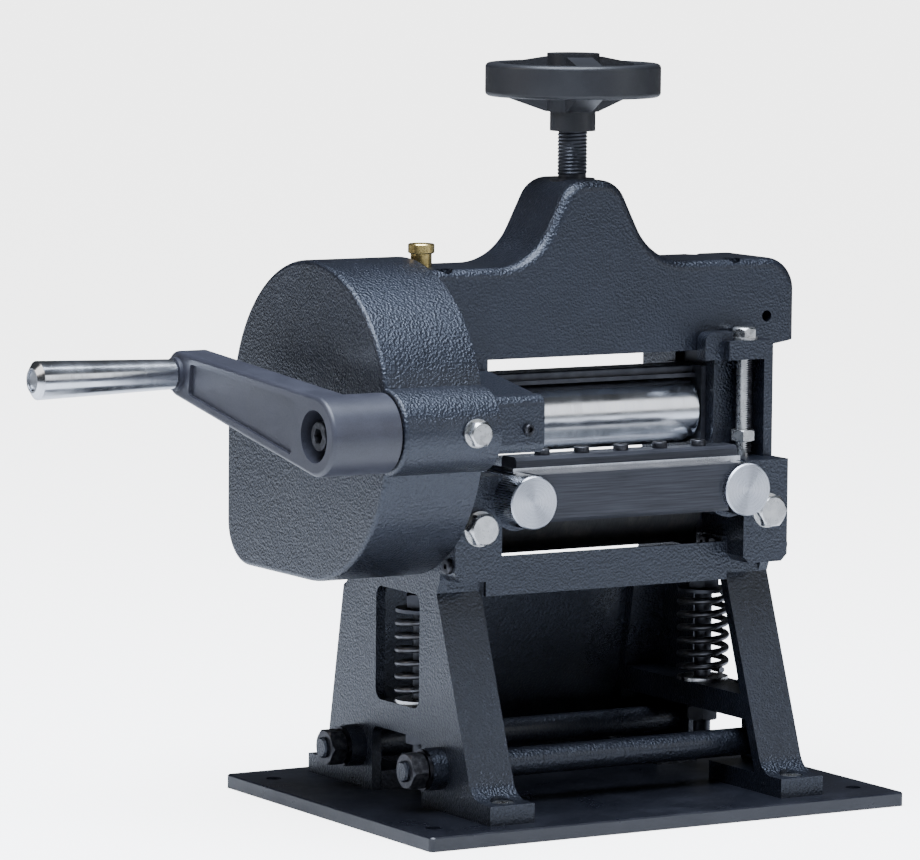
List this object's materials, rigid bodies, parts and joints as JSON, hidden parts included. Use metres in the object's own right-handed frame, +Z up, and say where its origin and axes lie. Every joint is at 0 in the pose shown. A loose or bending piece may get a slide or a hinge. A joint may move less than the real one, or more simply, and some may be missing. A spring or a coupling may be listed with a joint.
{
  "type": "leather splitting machine",
  "caption": "Hand-cranked bench splitter: geared upper roller over a sprung lower roller with a flat knife between them, in two A-shaped side frames on a plate, with a height handwheel.",
  "frame": {"origin": "on the underside of the base plate, in the middle of its bolt holes", "axes": "+Z up, +X along the rollers away from the crank, -Y towards the person at the machine"},
  "size_m": [0.4623, 0.2369, 0.428],
  "materials": {
    "black_paint": "textured black enamel",
    "base_steel": "satin black enamel",
    "arm_paint": "satin dark grey enamel",
    "wheel_black": "satin black",
    "bright_steel": "bright zinc plate",
    "black_screw": "black oxide",
    "machined_steel": "machined",
    "polished_steel": "polished",
    "turned_aluminium": "turned faces",
    "black_oxide": "black oxide",
    "gear_steel": "cut and oiled",
    "bronze": "machined bronze",
    "brass_cup": "polished",
    "rubber_sleeve": "ground",
    "spring_steel": "oil tempered"
  },
  "bodies": {
    "machine": {"base_plate": "base_steel", "left_side_frame": "black_paint", "right_side_frame": "black_paint", "top_beam": "black_paint", "beam_screws": "black_screw", "foot_screws": "bright_steel", "tie_bars": "machined_steel", "tie_bar_nuts": "black_screw", "washers": "bright_steel", "small_screws": "black_screw", "gear_cover": "black_paint", "gear_case_plate": "machined_steel", "rear_panel": "black_paint", "hex_bolts": "bright_steel", "crank_cover_bush": "bronze", "crank_arm_bush": "bronze", "left_knife_block": "black_paint", "right_knife_block": "black_paint", "height_lock_nuts": "bright_steel", "chute_plate": "black_paint", "oil_cup_body": "brass_cup", "screw_nut": "black_screw", "left_spring": "spring_steel", "right_spring": "spring_steel"},
    "oil_cap": {"oil_cup_cap": "brass_cup"},
    "crank": {"crank_shaft": "machined_steel", "pinion": "gear_steel", "crank_arm": "arm_paint", "crank_bolt": "black_screw", "handle_pin": "machined_steel"},
    "grip": {"handle_grip": "polished_steel"},
    "gear": {"drive_gear": "gear_steel", "gear_bush": "bronze", "drive_pins": "machined_steel"},
    "upper_carriage": {"upper_left_block": "machined_steel", "upper_right_block": "machined_steel", "upper_bushes": "bronze", "crosshead": "machined_steel", "crosshead_keeper": "machined_steel", "keeper_screws": "black_screw", "stripper_bar": "machined_steel"},
    "upper_roller_body": {"upper_roller": "polished_steel", "drive_plate": "machined_steel", "roller_retaining_ring": "bright_steel"},
    "handwheel_body": {"handwheel": "wheel_black", "height_spindle": "machined_steel"},
    "lower_carriage": {"lower_left_block": "machined_steel", "lower_right_block": "machined_steel", "lower_bushes": "bronze", "spring_rods": "machined_steel", "spring_nuts": "bright_steel", "spring_caps": "machined_steel"},
    "lower_roller_body": {"lower_roller_core": "machined_steel", "lower_roller_sleeve": "rubber_sleeve"},
    "knife_carrier": {"knife_rods": "turned_aluminium", "knife_holder": "black_oxide", "blade": "polished_steel", "blade_clamp": "black_oxide", "blade_screws": "black_screw"}
  },
  "joints": [
    {"name": "crank_turn", "type": "hinge", "parent": "machine", "child": "crank", "pos_m": [-0.19, -0.08782, 0.2275], "axis": [1, 0, 0], "continuous": true},
    {"name": "grip_spin", "type": "hinge", "parent": "crank", "child": "grip", "pos_m": [-0.26, 0.07092, 0.24755], "axis": [1, 0, 0], "continuous": true},
    {"name": "gear_turn", "type": "hinge", "parent": "machine", "child": "gear", "pos_m": [-0.143, -0.003, 0.222], "axis": [1, 0, 0], "continuous": true},
    {"name": "carriage_lift", "type": "slide", "parent": "machine", "child": "upper_carriage", "axis": [0, 0, 1], "range_m": [-0.0007, 0.003]},
    {"name": "upper_roller_turn", "type": "hinge", "parent": "upper_carriage", "child": "upper_roller_body", "pos_m": [0, -0.003, 0.222], "axis": [1, 0, 0], "continuous": true},
    {"name": "handwheel_turn", "type": "hinge", "parent": "upper_carriage", "child": "handwheel_body", "pos_m": [0, -0.003, 0.4], "axis": [0, 0, 1], "range_deg": [-126, 540]},
    {"name": "lower_roller_drop", "type": "slide", "parent": "machine", "child": "lower_carriage", "axis": [0, 0, 1], "range_m": [-0.005, 0], "stiffness_N_per_m": 12000, "springref_m": 0.01, "deforming": ["left_spring", "right_spring"]},
    {"name": "lower_roller_turn", "type": "hinge", "parent": "lower_carriage", "child": "lower_roller_body", "pos_m": [0, 0, 0.172], "axis": [1, 0, 0], "continuous": true},
    {"name": "knife_slide", "type": "slide", "parent": "machine", "child": "knife_carrier", "axis": [0, -1, 0], "range_m": [0, 0.02]},
    {"name": "oil_cap_turn", "type": "hinge", "parent": "machine", "child": "oil_cap", "pos_m": [-0.099, -0.003, 0.32], "axis": [0, 0, 1], "range_deg": [0, 90]}
  ],
  "couplings": [
    {"joint": "gear_turn", "follows": "crank_turn", "ratio": -0.21429},
    {"joint": "upper_roller_turn", "follows": "crank_turn", "ratio": -0.21429},
    {"joint": "carriage_lift", "follows": "handwheel_turn", "m_per_rad": 0.00031831}
  ]
}
